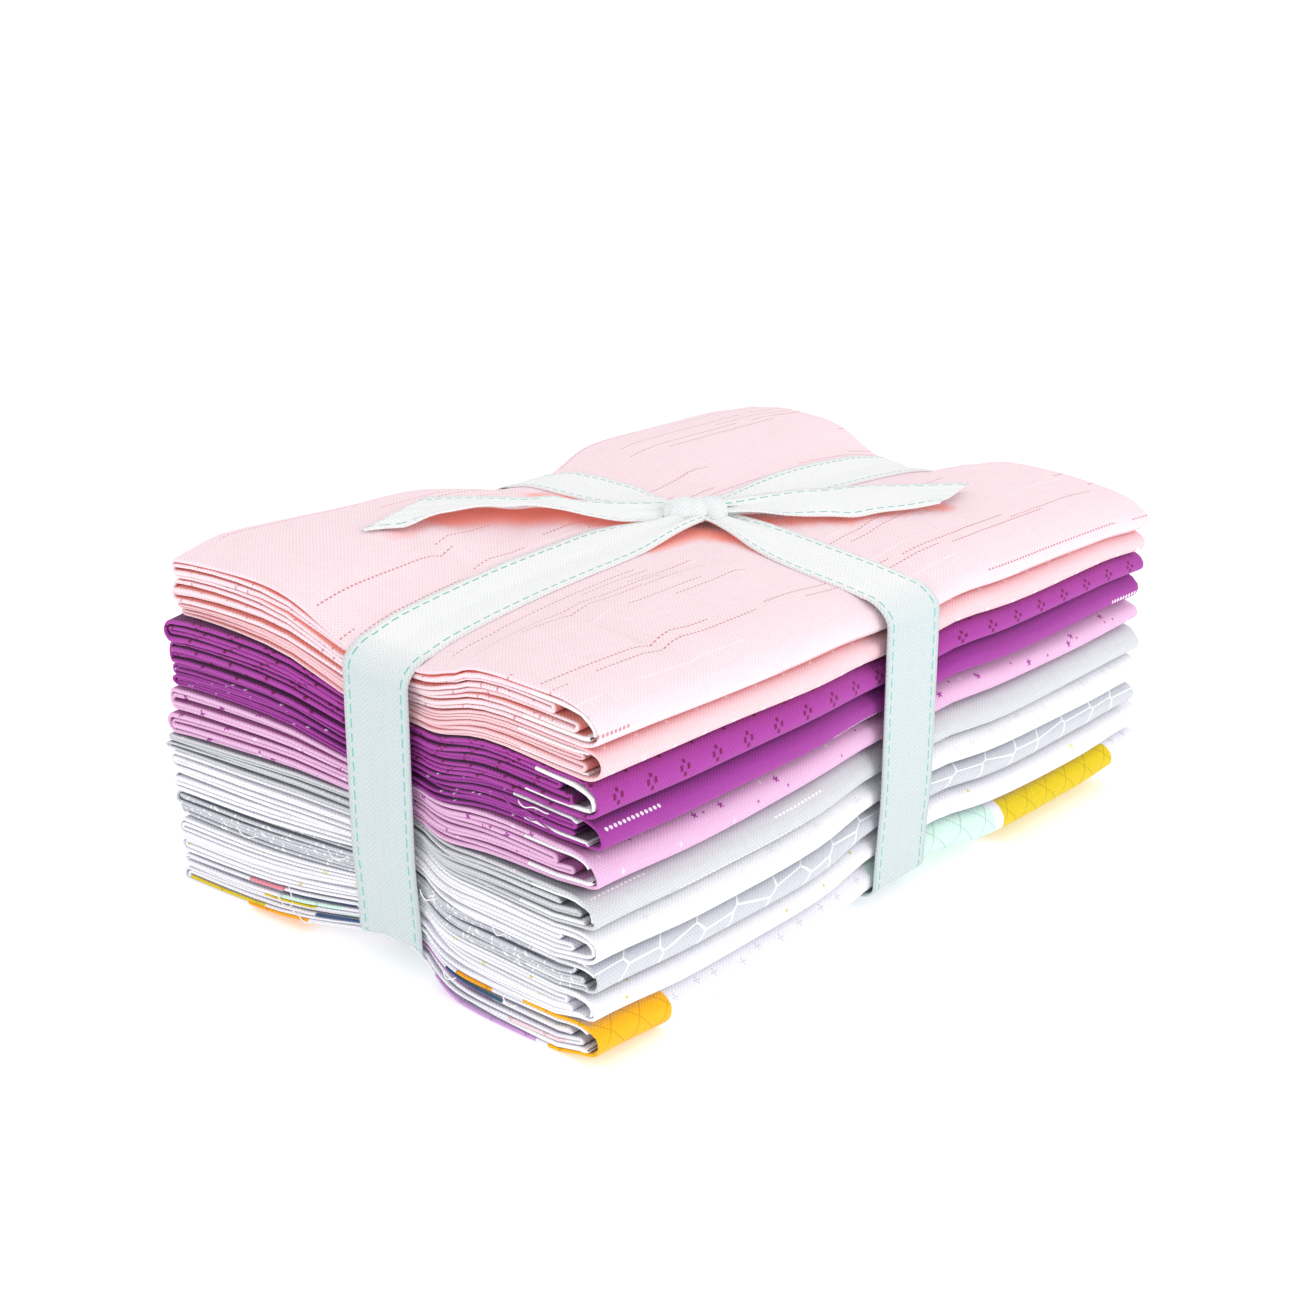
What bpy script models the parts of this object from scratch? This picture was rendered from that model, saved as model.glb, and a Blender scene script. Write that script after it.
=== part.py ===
# A stack of ten folded cotton cloths, tied crosswise with one ribbon that is
# knotted on top and leaves two free ends.
# Each cloth is one sheet in a gate fold: both ends come in to the middle and
# the whole closes like a book. So its section runs back and forth four times,
# with one large loop at the -Y side and two small loops at the +Y side.
# X runs along the cloths, Y across them, Z is up; metres.

from math import cos, exp, pi, radians, sin

import bmesh
import bpy
import numpy as np

# Driving sizes
MM = 0.001
HALF_LENGTH = 114.5 * MM
FOLD_Y = -68.8 * MM  # centre of the large loops
BACK_Y = 70.5 * MM  # centre of the small loops
FOLD_DEPTH = 4.4 * MM
BACK_DEPTH = 1.5 * MM
LOOP_THICK = 1.5 * MM  # of the cloth as it goes round a loop
PIECE_GAP = 0.3 * MM
RIBBON_GAP = 0.35 * MM

# Section of one cloth, as shares of its height
LAYER_SHARE = 0.19
LAYER_MIDDLES = (0.095, 0.365, 0.635, 0.905)
UPPER_END_IN = 4.0 * MM  # how far the sheet's two ends stop short of the loop
LOWER_END_IN = 2.0 * MM

# The ribbon's two bands cross at this place, each a little askew
CROSS_X = 4.0 * MM
CROSS_Y = -0.5 * MM
SKEW_LONG = 6.5 * MM
SKEW_SHORT = 4.4 * MM
RIBBON_WIDTH = 22.0 * MM
RIBBON_THICK = 1.0 * MM
BAND_HALF = RIBBON_WIDTH / 2 + 0.5 * MM
BAND_SHOULDER = 3.0 * MM  # size of a band's rounded turn at the stack's edges
BAND_BEND = 0.7  # share of the thickness each way at the middle of that turn
BAND_GATHER = 6.0 * MM  # how far each edge draws in at the knot
CROSSING_RISE = 0.6 * MM  # of the short band where it crosses the long one

# Height of the stack's top near its four corners, and how far it falls off
# towards the -X end, all in millimetres
TOP_CORNERS = {"near": 83.4, "left": 91.3, "right": 83.1, "far": 93.4}
END_DROOP = {"near": 0.5, "left": 3.9}
DROOP_START = 95.0 * MM
PUFFS = {"near": 1.5, "left": 2.7, "right": 3.6, "far": 0.8}
PUFF_RISE = 0.4  # share of the way out from a band by which the puff is full

# How far the bands press the top down and lift the bottom, at the middle and
# at each end of the band
PRESS_MIDDLE = 2.1 * MM
PRESS_ENDS = {"x-": 6.4, "x+": 7.6, "y-": 3.3, "y+": 5.4}
LIFT_MIDDLE = 2.8 * MM
LIFT_ENDS = {"x-": 8.4, "x+": 5.4, "y-": 5.0, "y+": 4.6}
LEAST_LIFT = 0.2 * MM  # under this the bottom lies flat
PRESS_REACH = 16.0 * MM
LIFT_REACH = 8.0 * MM
WAIST_END = 2.4 * MM
WAIST_FOLD = 3.4 * MM
WAIST_REACH = 17.0 * MM
LAYER_STEP = 0.7 * MM  # most that one layer's end is in from another's

# One row a cloth, bottom first: its height at the four corners, how far its
# ends (X) and its large loop (Y, at the near and the right corner) stand out
# past the mean, all in millimetres, and its colour
CLOTHS = [
    # name, near, left, right, far, end, loop near, loop right, colour
    ("cloth_spotted", 9.4, 8.2, 10.4, 9.2, -0.6, -1.2, 0.6, (0.86, 0.85, 0.83)),
    ("cloth_flecked", 7.3, 10.0, 8.8, 9.2, 0.2, -0.6, 0.7, (0.88, 0.87, 0.89)),
    ("cloth_net_grey", 7.4, 7.0, 7.3, 7.9, -0.5, 0.1, 0.2, (0.56, 0.58, 0.62)),
    ("cloth_white", 8.2, 11.4, 8.8, 9.8, 0.5, 0.6, 0.6, (0.88, 0.87, 0.90)),
    ("cloth_dash_grey", 8.9, 5.0, 9.6, 7.8, 0.9, 0.2, -0.2, (0.60, 0.62, 0.65)),
    ("cloth_lilac", 9.2, 12.2, 7.4, 9.9, 0.3, 0.6, -0.7, (0.76, 0.48, 0.69)),
    ("cloth_dotted_purple", 7.6, 6.4, 8.4, 8.3, -0.4, 1.2, -0.2, (0.36, 0.05, 0.34)),
    ("cloth_diamond_purple", 9.0, 11.8, 6.8, 9.3, 0.6, 1.2, 0.3, (0.37, 0.05, 0.35)),
    ("cloth_blush", 7.4, 5.0, 7.1, 7.4, -0.3, 1.6, 0.5, (0.96, 0.75, 0.72)),
    ("cloth_pink", 10.2, 10.8, 9.1, 10.8, 0.4, 1.2, 0.0, (0.94, 0.71, 0.76)),
]

# Grid lines on which every height is taken, so that neighbours stay parallel
BAND_SIDE = BAND_HALF + 12.0 * MM
GRID_X = [
    -120.0 * MM, -DROOP_START, -52.0 * MM, CROSS_X - BAND_SIDE, CROSS_X - BAND_HALF,
    CROSS_X + BAND_HALF, CROSS_X + BAND_SIDE, 60.0 * MM, DROOP_START, 120.0 * MM,
]
GRID_Y = [
    -78.0 * MM, -36.0 * MM, CROSS_Y - BAND_HALF,
    CROSS_Y + BAND_HALF, 38.0 * MM, 78.0 * MM,
]
STATIONS = [-HALF_LENGTH] + GRID_X[1:-1] + [HALF_LENGTH]

# Knot and free ends
KNOT_SIZE = (17.0 * MM, 13.0 * MM, 9.0 * MM)
KNOT_LIFT = 5.1 * MM
# A row for each cross-section of a free end: its place along the ribbon, its
# sideways drift, its rise over the cloth and its width, in millimetres, and
# its twist in degrees
TAIL_LEFT = [
    # along, drift, rise, width, twist
    (0.0, 0.0, 3.0, 8.0, 0.0),
    (14.0, 0.0, 4.2, 10.0, 8.0),
    (30.0, 0.0, 5.4, 16.0, 13.0),
    (46.0, 0.0, 5.6, 20.0, 9.0),
    (62.0, 0.0, 4.0, 21.0, 0.0),
    (80.5, 0.0, 2.9, 21.5, -6.0),
]
TAIL_RIGHT = [
    (0.0, 0.0, 3.0, 8.0, 0.0),
    (14.0, -1.0, 4.4, 12.0, -8.0),
    (29.0, -1.0, 5.0, 18.0, -9.0),
    (44.0, 0.0, 4.6, 21.5, -4.0),
    (58.0, 0.0, 4.0, 22.0, 0.0),
    (71.0, 0.0, 3.6, 22.0, 0.0),
]
LEFT_WAY = 145.0  # degrees in plan from +X
RIGHT_WAY = -38.0
LEFT_CUT = 19.0 * MM  # how far the slanted cut runs along the ribbon
RIGHT_CUT = 15.5 * MM


def clear_scene():
    for obj in list(bpy.data.objects):
        bpy.data.objects.remove(obj, do_unlink=True)


def fabric(name, colour, roughness):
    material = bpy.data.materials.new(name)
    material.use_nodes = True
    shader = material.node_tree.nodes["Principled BSDF"]
    shader.inputs["Base Color"].default_value = (*colour, 1.0)
    shader.inputs["Roughness"].default_value = roughness
    shader.inputs["Metallic"].default_value = 0.0
    return material


def bell(distance, flat, reach):
    # 1 within flat of the middle, then falling off smoothly
    past = max(0.0, abs(distance) - flat) / reach
    return exp(-past * past)


def end_value(ends, low, high, middle, share):
    # from the middle value to the value at the end on this side
    side = ends[high] if share > 0 else ends[low]
    return middle + (side * MM - middle) * share * share


def corner_blend(values, x, y):
    # between four corner values: near (-X -Y), left (-X +Y), right (+X -Y), far
    u = 0.5 + 0.5 * x / HALF_LENGTH
    v = (y - FOLD_Y) / (BACK_Y - FOLD_Y)
    front = values["near"] * (1 - u) + values["right"] * u
    back = values["left"] * (1 - u) + values["far"] * u
    return front * (1 - v) + back * v


def band_effect(x, y, middle, ends, reach):
    # the larger of the two bands' effects, joined softly
    across = end_value(ends, "x-", "x+", middle, (x - CROSS_X) / HALF_LENGTH)
    along = end_value(ends, "y-", "y+", middle, (y - CROSS_Y) / BACK_Y)
    first = across * bell(y - CROSS_Y, BAND_HALF, reach)
    second = along * bell(x - CROSS_X, BAND_HALF, reach)
    return (first**4 + second**4) ** 0.25


def puff(x, y):
    # each quarter of the top swells between the bands and the folds at its side
    a = min(1.0, abs(x - CROSS_X) / HALF_LENGTH / PUFF_RISE)
    b = min(1.0, abs(y - CROSS_Y) / BACK_Y)
    return corner_blend(PUFFS, x, y) * MM * a * sin(pi * b**0.8)


def end_droop(x, y):
    # the top falls off towards the -X end, more at its far side
    past = max(0.0, -x - DROOP_START) / (HALF_LENGTH - DROOP_START)
    v = (y - FOLD_Y) / (BACK_Y - FOLD_Y)
    return past * (END_DROOP["near"] * (1 - v) + END_DROOP["left"] * v) * MM


def top_height(x, y):
    level = corner_blend(TOP_CORNERS, x, y) * MM + puff(x, y) - end_droop(x, y)
    return level - band_effect(x, y, PRESS_MIDDLE, PRESS_ENDS, PRESS_REACH)


def bottom_height(x, y):
    lift = band_effect(x, y, LIFT_MIDDLE, LIFT_ENDS, LIFT_REACH)
    return lift if lift > LEAST_LIFT else 0.0


def parting_grid():
    # heights of the eleven partings (floor, nine between cloths, top) on the grid
    corners = ("near", "left", "right", "far")
    depths = np.array([row[1:5] for row in CLOTHS])
    shares = np.vstack([np.zeros(4), np.cumsum(depths, axis=0)]) / depths.sum(axis=0)
    grid = np.zeros((len(shares), len(GRID_X), len(GRID_Y)))
    for i, x in enumerate(GRID_X):
        for j, y in enumerate(GRID_Y):
            low = bottom_height(x, y)
            high = top_height(x, y)
            for k, row in enumerate(shares):
                share = corner_blend(dict(zip(corners, row)), x, y)
                grid[k, i, j] = low + (high - low) * share
    return grid


def height_at(grid, k, x, y):
    # straight between the grid lines, in both directions
    along = [np.interp(y, GRID_Y, grid[k, i]) for i in range(len(GRID_X))]
    return float(np.interp(x, GRID_X, along))


def in_plan(x, y):
    # the bands lie a little askew, and the cloths' grid turns with them
    across = 1.0 - min(1.0, (x / HALF_LENGTH) ** 2)
    along = 1.0 - min(1.0, (y / BACK_Y) ** 2)
    shift_y = SKEW_LONG * along * x / HALF_LENGTH
    shift_x = SKEW_SHORT * across * y / BACK_Y
    return x + shift_x, y + shift_y


def section_path():
    # The sheet's section as a row of samples. Each has a place across (Y), a
    # step past it, and the height shares of its left and right skin.
    half = LAYER_SHARE / 2
    run = GRID_Y[1:-1]
    samples = []

    def straight(middle, places, up):
        for y in places:
            samples.append(((y, 0.0, middle + up * half), (y, 0.0, middle - up * half)))

    def loop(y, depth, middle, reach, start, steps):
        # half an ellipse, turning left
        for step in range(1, steps):
            angle = start + pi * step / steps
            pair = []
            for side in (-1, 1):
                across = depth + side * LOOP_THICK / 2
                height = reach + side * half
                pair.append((y, across * cos(angle), middle + height * sin(angle)))
            samples.append(pair)

    lowest, low, high, highest = LAYER_MIDDLES
    straight(high, [FOLD_Y + UPPER_END_IN] + run + [BACK_Y], 1)
    loop(BACK_Y, BACK_DEPTH, (high + highest) / 2, (highest - high) / 2, -pi / 2, 4)
    straight(highest, [BACK_Y] + run[::-1] + [FOLD_Y], -1)
    loop(FOLD_Y, FOLD_DEPTH, 0.5, (highest - lowest) / 2, pi / 2, 6)
    straight(lowest, [FOLD_Y] + run + [BACK_Y], 1)
    loop(BACK_Y, BACK_DEPTH, (lowest + low) / 2, (low - lowest) / 2, -pi / 2, 4)
    straight(low, [BACK_Y] + run[::-1] + [FOLD_Y + LOWER_END_IN], -1)
    return samples


def side_shift(row, x, y):
    # how far this cloth's loops stand out or are drawn in at this place
    near, right = row[6:8]
    share = 0.5 + 0.5 * x / HALF_LENGTH
    waist = WAIST_FOLD * bell(x - CROSS_X, BAND_HALF, WAIST_REACH)
    if y < 0:
        return waist - (near * (1 - share) + right * share) * MM * (1 - waist / WAIST_FOLD)
    return -waist


def end_shift(row, y, order):
    # how far this cloth's end stands out or is drawn in; the layers' ends differ
    waist = bell(y - CROSS_Y, BAND_HALF, WAIST_REACH)
    uneven = LAYER_STEP * (0.5 + 0.5 * sin(2.4 * order))
    return WAIST_END * waist + uneven - row[5] * MM * (1 - waist)


def cloth_point(grid, row, level, station, order, skin):
    x = STATIONS[station]
    y, step, share = skin
    at_side = y in (FOLD_Y, BACK_Y) or y < GRID_Y[1]
    shifted = y + (side_shift(row, x, y) if at_side else 0.0)
    at_end = station in (0, len(STATIONS) - 1)
    inward = end_shift(row, y, order) if at_end else 0.0
    x_shifted = x + inward if x < 0 else x - inward
    low = height_at(grid, level, x_shifted, shifted)
    high = height_at(grid, level + 1, x_shifted, shifted)
    low += PIECE_GAP / 2 if level else 0.0
    high -= PIECE_GAP / 2 if level + 1 < len(CLOTHS) else 0.0
    plan_x, plan_y = in_plan(x_shifted, shifted)
    return plan_x, plan_y + step, low + share * (high - low)


def split_alike(bm, along, across):
    # Quads are split from their low corner in plan to their high one, above
    # and below alike, so that facing cloths stay parallel.
    groups = {"FIXED": [], "ALTERNATE": []}
    for face in bm.faces:
        if len(face.verts) != 4:
            continue
        ranks = [(vert[along], vert[across]) for vert in face.verts]
        lowest = ranks.index(min(ranks))
        groups["FIXED" if lowest % 2 == 0 else "ALTERNATE"].append(face)
    for method, faces in groups.items():
        bmesh.ops.triangulate(bm, faces=faces, quad_method=method)


def add_object(name, bm, material, collection):
    mesh = bpy.data.meshes.new(name)
    bmesh.ops.recalc_face_normals(bm, faces=bm.faces)
    bm.to_mesh(mesh)
    bm.free()
    mesh.shade_smooth()
    mesh.set_sharp_from_angle(angle=0.7)
    mesh.materials.append(material)
    obj = bpy.data.objects.new(name, mesh)
    collection.objects.link(obj)
    return obj


def folded_cloth(row, level, grid, path, collection):
    bm = bmesh.new()
    order = bm.verts.layers.int.new("order")
    along = bm.verts.layers.int.new("along")
    across = bm.verts.layers.float.new("across")
    strip = []
    for index, pair in enumerate(path):
        verts = []
        for side, skin in enumerate(pair):
            vert = bm.verts.new(cloth_point(grid, row, level, 0, index, skin))
            vert[order] = 2 * index + side
            vert[across] = skin[0]
            verts.append(vert)
        strip.append(verts)
    faces = [
        bm.faces.new((a[0], b[0], b[1], a[1])) for a, b in zip(strip, strip[1:])
    ]
    for station in range(1, len(STATIONS)):
        made = bmesh.ops.extrude_face_region(bm, geom=faces, use_keep_orig=True)["geom"]
        if station > 1:
            bmesh.ops.delete(bm, geom=faces, context="FACES_ONLY")
        faces = [item for item in made if isinstance(item, bmesh.types.BMFace)]
        for vert in (item for item in made if isinstance(item, bmesh.types.BMVert)):
            index, side = divmod(vert[order], 2)
            skin = path[index][side]
            vert.co = cloth_point(grid, row, level, station, index, skin)
            vert[along] = station
    split_alike(bm, along, across)
    material = fabric(row[0] + "_cotton", row[8], 0.85)
    return add_object(row[0], bm, material, collection)


def band_rows(grid, long_way):
    # Four-cornered cross-sections of one band, all round the stack: over the
    # top, round the high end, back below and round the low end.
    top = len(CLOTHS)
    if long_way:
        centre, middle, lines, rise = CROSS_X, CROSS_Y, GRID_X[1:-1], 0.0
        low_end, high_end = WAIST_END - HALF_LENGTH, HALF_LENGTH - WAIST_END
    else:
        centre, middle, lines, rise = CROSS_Y, CROSS_X, GRID_Y[1:-1], CROSSING_RISE
        low_end = FOLD_Y - FOLD_DEPTH - LOOP_THICK / 2 + WAIST_FOLD
        high_end = BACK_Y + BACK_DEPTH + LOOP_THICK / 2 - WAIST_FOLD

    def section(place, level, off, thick_out, thick_up, half=RIBBON_WIDTH / 2):
        corners = []
        for side, outer in ((-1, 0), (1, 0), (1, 1), (-1, 1)):
            beside = middle + side * half
            x, y = (place, beside) if long_way else (beside, place)
            z = height_at(grid, level, x, y) + off + outer * thick_up * RIBBON_THICK
            x, y = in_plan(x, y)
            out = outer * thick_out * RIBBON_THICK
            corners.append((x + out, y, z) if long_way else (x, y + out, z))
        return corners

    def turn(place, way):
        # round the edge at the top, down the side and round the edge below
        inner = place - way * BAND_SHOULDER
        down = BAND_SHOULDER - RIBBON_GAP
        return [
            section(inner, top, RIBBON_GAP, 0.0, 1.0),
            section(place, top, RIBBON_GAP, way * BAND_BEND, BAND_BEND),
            section(place, top, -down, way, 0.0),
            section(place, 0, down, way, 0.0),
            section(place, 0, -RIBBON_GAP, way * BAND_BEND, -BAND_BEND),
            section(inner, 0, -RIBBON_GAP, 0.0, -1.0),
        ]

    over = []
    below = []
    for place in lines:
        off = RIBBON_GAP + rise * bell(place - centre, BAND_HALF, BAND_SHOULDER)
        gather = BAND_GATHER * bell(place - centre, BAND_HALF, 2 * BAND_HALF)
        over.append(section(place, top, off, 0.0, 1.0, RIBBON_WIDTH / 2 - gather))
        below.append(section(place, 0, -off, 0.0, -1.0))
    high_turn = turn(high_end + RIBBON_GAP, 1)
    low_turn = turn(low_end - RIBBON_GAP, -1)
    return over + high_turn + below[::-1] + low_turn[::-1]


def ring_of(rows):
    # a closed ring lofted through four-cornered sections
    bm = bmesh.new()
    loops = []
    for corners in rows:
        verts = [bm.verts.new(corner) for corner in corners]
        loops.append([bm.edges.new((verts[i], verts[(i + 1) % 4])) for i in range(4)])
    for first, second in zip(loops, loops[1:] + loops[:1]):
        bmesh.ops.bridge_loops(bm, edges=first + second)
    bmesh.ops.triangulate(bm, faces=bm.faces)
    return bm


def tail_rows(grid, table, way, slant):
    # cross-sections of a free end, from the knot outwards
    ahead = np.array([cos(radians(way)), sin(radians(way))])
    aside = np.array([-ahead[1], ahead[0]])
    start = np.array(in_plan(CROSS_X, CROSS_Y))
    rows = []
    for along, drift, rise, width, twist in table:
        cut = slant if along == table[-1][0] else 0.0
        corners = []
        for side, outer in ((-1, 0), (1, 0), (1, 1), (-1, 1)):
            reach = along * MM + side * cut / 2
            sideways = drift * MM + side * width * MM / 2 * cos(radians(twist))
            x, y = start + ahead * reach + aside * sideways
            z = height_at(grid, len(CLOTHS), x, y) + rise * MM
            z += side * width * MM / 2 * sin(radians(twist)) + outer * RIBBON_THICK
            corners.append((x, y, z))
        rows.append(corners)
    return rows


def strip_of(rows):
    # an open strip lofted through four-cornered sections, with both ends closed
    bm = bmesh.new()
    loops = []
    ends = []
    for corners in rows:
        verts = [bm.verts.new(corner) for corner in corners]
        loops.append([bm.edges.new((verts[i], verts[(i + 1) % 4])) for i in range(4)])
        ends.append(verts)
    for first, second in zip(loops, loops[1:]):
        bmesh.ops.bridge_loops(bm, edges=first + second)
    bm.faces.new(ends[0])
    bm.faces.new(ends[-1])
    bmesh.ops.triangulate(bm, faces=bm.faces)
    return bm


def knot_of(grid):
    bm = bmesh.new()
    bmesh.ops.create_uvsphere(bm, u_segments=14, v_segments=8, radius=0.5)
    x, y = in_plan(CROSS_X, CROSS_Y)
    z = height_at(grid, len(CLOTHS), CROSS_X, CROSS_Y) + KNOT_LIFT
    bmesh.ops.scale(bm, vec=KNOT_SIZE, verts=bm.verts)
    bmesh.ops.translate(bm, vec=(x, y, z), verts=bm.verts)
    return bm


def tied_ribbon(grid, collection, tools):
    cotton = fabric("ribbon_twill", (0.90, 0.92, 0.90), 0.8)
    body = add_object("ribbon", ring_of(band_rows(grid, True)), cotton, collection)
    joined = {
        "ribbon_crossband": ring_of(band_rows(grid, False)),
        "ribbon_knot": knot_of(grid),
        "ribbon_end_left": strip_of(tail_rows(grid, TAIL_LEFT, LEFT_WAY, LEFT_CUT)),
        "ribbon_end_right": strip_of(tail_rows(grid, TAIL_RIGHT, RIGHT_WAY, RIGHT_CUT)),
    }
    for name, bm in joined.items():
        tool = add_object(name, bm, cotton, tools)
        tool.hide_render = True
        tool.display_type = "WIRE"
        union = body.modifiers.new(name, "BOOLEAN")
        union.operation = "UNION"
        union.object = tool
    return body


def centre_in_plan(root, collection):
    # the empty that holds the pieces stands so that their box is centred on it
    bpy.context.view_layer.update()
    graph = bpy.context.evaluated_depsgraph_get()
    corners = []
    for obj in collection.objects:
        if obj.type == "MESH":
            mesh = obj.evaluated_get(graph).to_mesh()
            corners += [tuple(vert.co) for vert in mesh.vertices]
    corners = np.array(corners)
    middle = (corners.min(axis=0) + corners.max(axis=0)) / 2
    root.location = (-middle[0], -middle[1], -corners[:, 2].min())


def main():
    clear_scene()
    scene = bpy.context.scene
    collection = bpy.data.collections.new("tied_stack_of_folded_cloth")
    tools = bpy.data.collections.new("shapes_joined_to_the_ribbon")
    scene.collection.children.link(collection)
    scene.collection.children.link(tools)
    root = bpy.data.objects.new("bundle", None)
    collection.objects.link(root)
    grid = parting_grid()
    path = section_path()
    for level, row in enumerate(CLOTHS):
        cloth = folded_cloth(row, level, grid, path, collection)
        cloth.parent = root
    ribbon = tied_ribbon(grid, collection, tools)
    ribbon.parent = root
    for tool in tools.objects:
        tool.parent = root
    centre_in_plan(root, collection)


main()
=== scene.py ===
# A stack of ten folded cotton cloths, tied crosswise with one twill ribbon.
# Each cloth is one thin sheet: folded in two along its length (the fold is at
# -X), doubled end to end, and closed like a gate, so its section runs back and
# forth with a large loop at -Y and two small ones at +Y. Heights and places
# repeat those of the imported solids. Lengths are in millimetres up to placeMesh.
from math import copysign, cos, hypot, pi, radians, sin

import bmesh
import bpy
import numpy as np
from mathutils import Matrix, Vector


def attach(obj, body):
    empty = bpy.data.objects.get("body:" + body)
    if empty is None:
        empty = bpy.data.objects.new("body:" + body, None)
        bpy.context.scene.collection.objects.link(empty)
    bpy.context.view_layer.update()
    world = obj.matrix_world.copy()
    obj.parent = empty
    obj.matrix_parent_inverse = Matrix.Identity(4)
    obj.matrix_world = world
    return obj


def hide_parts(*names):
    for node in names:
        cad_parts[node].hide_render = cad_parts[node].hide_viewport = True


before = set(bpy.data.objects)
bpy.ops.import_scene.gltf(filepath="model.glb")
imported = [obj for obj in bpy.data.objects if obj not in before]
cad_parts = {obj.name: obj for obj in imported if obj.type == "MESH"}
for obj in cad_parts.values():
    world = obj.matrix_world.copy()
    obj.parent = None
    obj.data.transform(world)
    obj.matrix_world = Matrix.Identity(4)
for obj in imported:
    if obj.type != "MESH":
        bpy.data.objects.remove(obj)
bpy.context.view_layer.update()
print("stage: frame loaded")

toMetres = 0.001

stack = {
    "halfLength": 114.5,
    "foldY": -68.8,  # where the large loops start
    "backY": 70.5,  # where the small loops start
    "frameY": 1.409,  # from these places to the frame's
    "pieceGap": 0.3,
    "crossX": 4.0,  # where the ribbon's bands cross
    "crossY": -0.5,
    "skewLong": (6.5, 5.2),  # of the long band at its -X and +X end
    "skewShort": (4.4, 0.2),  # of the short band at its -Y and +Y end
    "bandHalf": 11.5,
    "topCorners": (83.6, 90.8, 83.3, 93.5),  # near, left, right, far
    "puffs": (0.8, 2.7, 3.6, 0.8),  # rise of the top between the bands
    "puffRise": 0.4,
    "droops": (0.0, 3.9, 97.0),  # fall of the top at the -X end, near and left; its start
    # fall of the top at the +Y and the +X edge, how much more at the band, from and to
    "backDroop": (1.8, 0.6, 52, 72),
    "rightDroop": (1.5, -0.4, 92, 115),
    "curl": (2.2, (78, 112), (58, 72)),  # rise of the bottom's near corner, from and to
    "rightCurl": (2.6, 1.6),  # rise of the bottom's -Y edge past the band, and at its end
    "rightReach": (5.0, 3.5),  # how far the two lowest cloths stand out at +X
    "waistEnd": 2.4,  # how far the bands draw the ends and the loops in
    "waistFold": 3.4,
    "waistReach": 17.0,
}

# How far the bands press the top down and lift the bottom, with each band's
# reach on its low side and its high side as a flat part and a slope
press = {
    "middle": 1.5, "power": 2.0, "rise": 3,
    "x-": (8.0, (11.0, 17.0), (11.0, 15.5)), "x+": (8.5, (11.0, 11.0), (11.0, 13.5)),
    "y-": (3.5, (11.0, 15.5), (11.0, 11.0)), "y+": (5.7, (11.0, 15.5), (11.0, 14.0)),
}
lift = {
    "middle": 2.8, "power": 1.5, "rise": 2,
    "x-": (8.4, (8.0, 7.0), (2.0, 28.0)), "x+": (5.4, (8.0, 14.0), (8.0, 20.0)),
    "y-": (4.4, (4.0, 24.0), (4.0, 24.0)), "y+": (4.6, (6.0, 20.0), (6.0, 20.0)),
}

fold = {
    "thick": 0.26,  # of the cotton
    "depth": 5.0,  # of the outermost ply in a large loop
    "backDepth": 2.1,
    "plyStep": 0.55,
    "spreadFold": 0.52,  # distance of a band's two plies at the fold, as a share
    "spreadCut": 0.45,  # and at the cut end
    "noseReach": 0.32,  # how far a fold's edge stands past its plies
    "selvage": 20.0,
    "faceDrop": 0.32,  # of the top cloth's open face below the stack's height
    # painted shade of the turned-in selvages in the large loop, and of the ply behind them
    "nearHidden": 0.3,  # of the turned-in selvages, which some light reaches
    "hollow": 0.35,  # shade of the ply behind them
    "step": 7.0,  # between points along the folds
    "topStep": 3.2,  # and in the top cloth
}

# A row a cloth, bottom first. The heights are at the near, left, right and far
# corners; ends and loops stand out past the mean; a hook is how far round the
# large loop each selvage reaches, in degrees; recesses are how far in the two
# inner folds end; a nose is its height share in the loop and how far in its
# shoulder starts.
cloths = [
    # node, heights, end, loop near, right, left back,
    # hooks, recesses, nose, unevenness of its bands
    ("cloth_spotted", (9.8, 8.2, 10.6, 9.6), -0.6, -1.2, 0.6, 0.5,
     (40, -60), (2.5, 1.0), (0.45, 6.0), 0.9),
    ("cloth_flecked", (7.0, 10.2, 8.8, 9.4), 0.2, -0.6, 0.7, 0.6,
     (-30, -50), (4.5, 3.5), (0.35, 5.0), 0.7),
    ("cloth_net_grey", (7.4, 6.9, 7.3, 8.0), -0.5, 0.1, 0.2, 1.6,
     (20, -75), (2.5, 0.5), (0.40, 6.0), 0.9),
    ("cloth_white", (8.2, 11.6, 8.8, 10.0), 0.5, 0.6, 0.6, 1.6,
     (-40, -35), (6.5, 4.0), (0.36, 6.0), 0.7),
    ("cloth_dash_grey", (9.2, 4.3, 9.8, 7.8), 0.9, 0.2, -0.2, 2.2,
     (-10, -70), (3.5, 1.5), (0.22, 8.0), 1.0),
    ("cloth_lilac", (9.4, 12.6, 7.4, 10.2), 0.3, 0.6, -0.7, 0.9,
     (30, -30), (6.0, 4.5), (0.36, 7.0), 0.9),
    ("cloth_dotted_purple", (7.6, 6.3, 8.4, 8.4), -0.4, 1.2, -0.2, -0.6,
     (74, -78), (2.5, 5.0), (0.34, 5.5), 1.0),
    ("cloth_diamond_purple", (9.0, 12.0, 6.6, 9.6), 0.6, 1.2, 0.3, -0.6,
     (-30, -45), (6.5, 3.5), (0.33, 6.0), 0.9),
    ("cloth_blush", (7.3, 4.0, 7.0, 7.4), -0.3, 1.6, 0.5, -3.2,
     (60, -80), (2.5, 0.6), (0.45, 4.0), 0.8),
    ("cloth_pink", (10.3, 11.3, 9.2, 11.0), 0.4, 1.2, 0.3, -2.4,
     (-15, -55), (4.0, 2.5), (0.26, 10.0), 1.0),
]

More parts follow.
